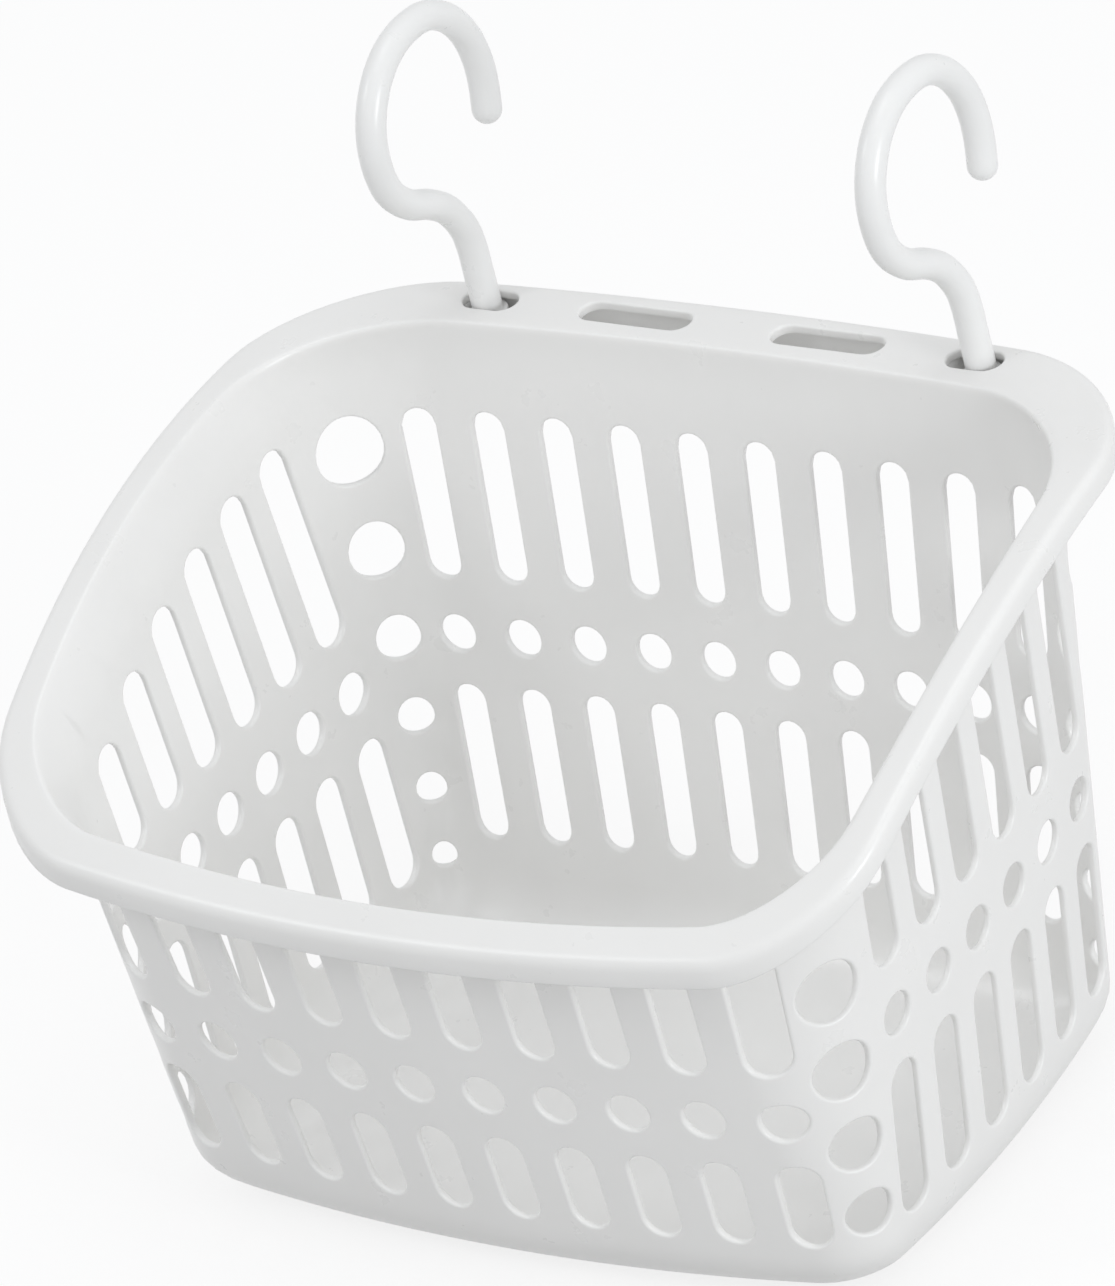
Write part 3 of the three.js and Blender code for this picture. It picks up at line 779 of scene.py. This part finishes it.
tubLook = dict(dark=(0.82, 0.815, 0.80), light=(0.88, 0.875, 0.86), roughness=(0.24, 0.34), gloss=0.5,
               cloud=0.12, cloudDepth=3.0, cloudSize=40.0, wearSize=9.0, grainSize=0.45,
               grainStrength=0.25, grainDepth=0.02, waveSize=16.0, waveStrength=0.35, waveDepth=0.06)
hookLook = dict(dark=(0.82, 0.82, 0.81), light=(0.88, 0.88, 0.87), roughness=(0.24, 0.34), gloss=0.5,
                cloud=0.12, cloudDepth=3.0, cloudSize=20.0, wearSize=6.0, grainSize=0.4,
                grainStrength=0.2, grainDepth=0.015, waveSize=9.0, waveStrength=0.3, waveDepth=0.04)

tubPlastic = plastic("tub plastic", tubLook)
hookPlastic = plastic("hook plastic", hookLook)

basketTub = makeTub()
basketTub.data.materials.append(tubPlastic)
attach(basketTub, "tub")
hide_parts("tub")
print("tub made")

for sideName, side in (("left", -1), ("right", 1)):
    socketPiece = makeSocket(sideName + "_socket", side)
    socketPiece.data.materials.append(tubPlastic)
    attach(socketPiece, "tub")
    hookPiece = makeHook(sideName + "_hook_rod", side)
    hookPiece.data.materials.append(hookPlastic)
    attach(hookPiece, sideName + "_hook")
    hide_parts(sideName + "_hook")
print("hooks made")


# stage: pale floor that reads white to the camera and keeps a soft shadow
stage = dict(size=3.0, floor=(0.58, 0.58, 0.58), seenFloor=(0.98, 0.98, 0.98), shadowShare=0.2,
             lampAim=(0, 0.02, 0.08),
             world=0.74, worldTint=(0.975, 0.985, 1.0), lampTint=(0.96, 0.98, 1.0),
             lamps=(("key", (1.2, -0.25, 0.42), 0.4, 4.6),
                    ("fill", (-0.8, -0.75, 1.1), 0.35, 1.9),
                    ("top", (0.1, 0.1, 1.6), 0.8, 2.6)))      # name, place, size, watts


def anyRay(nodes, links, kinds):          # 1 for a ray of any of the named kinds
    rays = nodes.new("ShaderNodeLightPath")
    found = rays.outputs[kinds[0]]
    for kind in kinds[1:]:
        either = nodes.new("ShaderNodeMath")
        either.operation = 'MAXIMUM'
        links.new(found, either.inputs[0])
        links.new(rays.outputs[kind], either.inputs[1])
        found = either.outputs[0]
    return found


def makeFloor():
    mesh = bpy.data.meshes.new("floor")
    reach = stage["size"] / 2
    mesh.from_pydata([(-reach, -reach, 0), (reach, -reach, 0), (reach, reach, 0), (-reach, reach, 0)],
                     [], [(0, 1, 2, 3)])
    floor = bpy.data.objects.new("floor", mesh)
    bpy.context.scene.collection.objects.link(floor)
    material = bpy.data.materials.new("floor paint")
    material.use_nodes = True
    nodes, links = material.node_tree.nodes, material.node_tree.links
    nodes.clear()
    seen = anyRay(nodes, links, ("Is Camera Ray", "Is Glossy Ray", "Is Transmission Ray"))
    dull = nodes.new("ShaderNodeBsdfDiffuse")
    dull.inputs["Color"].default_value = (*stage["floor"], 1)
    bright = nodes.new("ShaderNodeBsdfDiffuse")
    bright.inputs["Color"].default_value = (*stage["seenFloor"], 1)
    glow = nodes.new("ShaderNodeEmission")
    glow.inputs["Color"].default_value = (1, 1, 1, 1)
    glow.inputs["Strength"].default_value = 1.0
    pale = nodes.new("ShaderNodeMixShader")
    pale.inputs["Fac"].default_value = 1 - stage["shadowShare"]
    links.new(bright.outputs[0], pale.inputs[1])
    links.new(glow.outputs[0], pale.inputs[2])
    mix = nodes.new("ShaderNodeMixShader")
    links.new(seen, mix.inputs["Fac"])
    links.new(dull.outputs[0], mix.inputs[1])
    links.new(pale.outputs[0], mix.inputs[2])
    out = nodes.new("ShaderNodeOutputMaterial")
    links.new(mix.outputs[0], out.inputs["Surface"])
    mesh.materials.append(material)


def makeWorld():
    world = bpy.data.worlds.new("studio")
    bpy.context.scene.world = world
    world.use_nodes = True
    nodes, links = world.node_tree.nodes, world.node_tree.links
    nodes.clear()
    seen = anyRay(nodes, links, ("Is Camera Ray", "Is Transmission Ray"))
    dim = nodes.new("ShaderNodeBackground")
    dim.inputs["Strength"].default_value = stage["world"]
    full = nodes.new("ShaderNodeBackground")
    full.inputs["Color"].default_value = (1, 1, 1, 1)
    full.inputs["Strength"].default_value = 1.0
    dim.inputs["Color"].default_value = (*stage["worldTint"], 1)
    mix = nodes.new("ShaderNodeMixShader")
    links.new(seen, mix.inputs["Fac"])
    links.new(dim.outputs[0], mix.inputs[1])
    links.new(full.outputs[0], mix.inputs[2])
    out = nodes.new("ShaderNodeOutputWorld")
    links.new(mix.outputs[0], out.inputs["Surface"])


def makeLamp(name, place, size, power):
    data = bpy.data.lights.new(name, 'AREA')
    data.shape = 'DISK'
    data.size = size
    data.energy = power
    data.color = stage["lampTint"]
    lamp = bpy.data.objects.new(name, data)
    bpy.context.scene.collection.objects.link(lamp)
    lamp.location = place
    aim = Vector(stage["lampAim"]) - Vector(place)
    lamp.rotation_euler = aim.to_track_quat('-Z', 'Y').to_euler()


makeFloor()
makeWorld()
for lamp in stage["lamps"]:
    makeLamp(*lamp)
scene = bpy.context.scene
scene.view_settings.view_transform = 'Standard'
print("stage set")
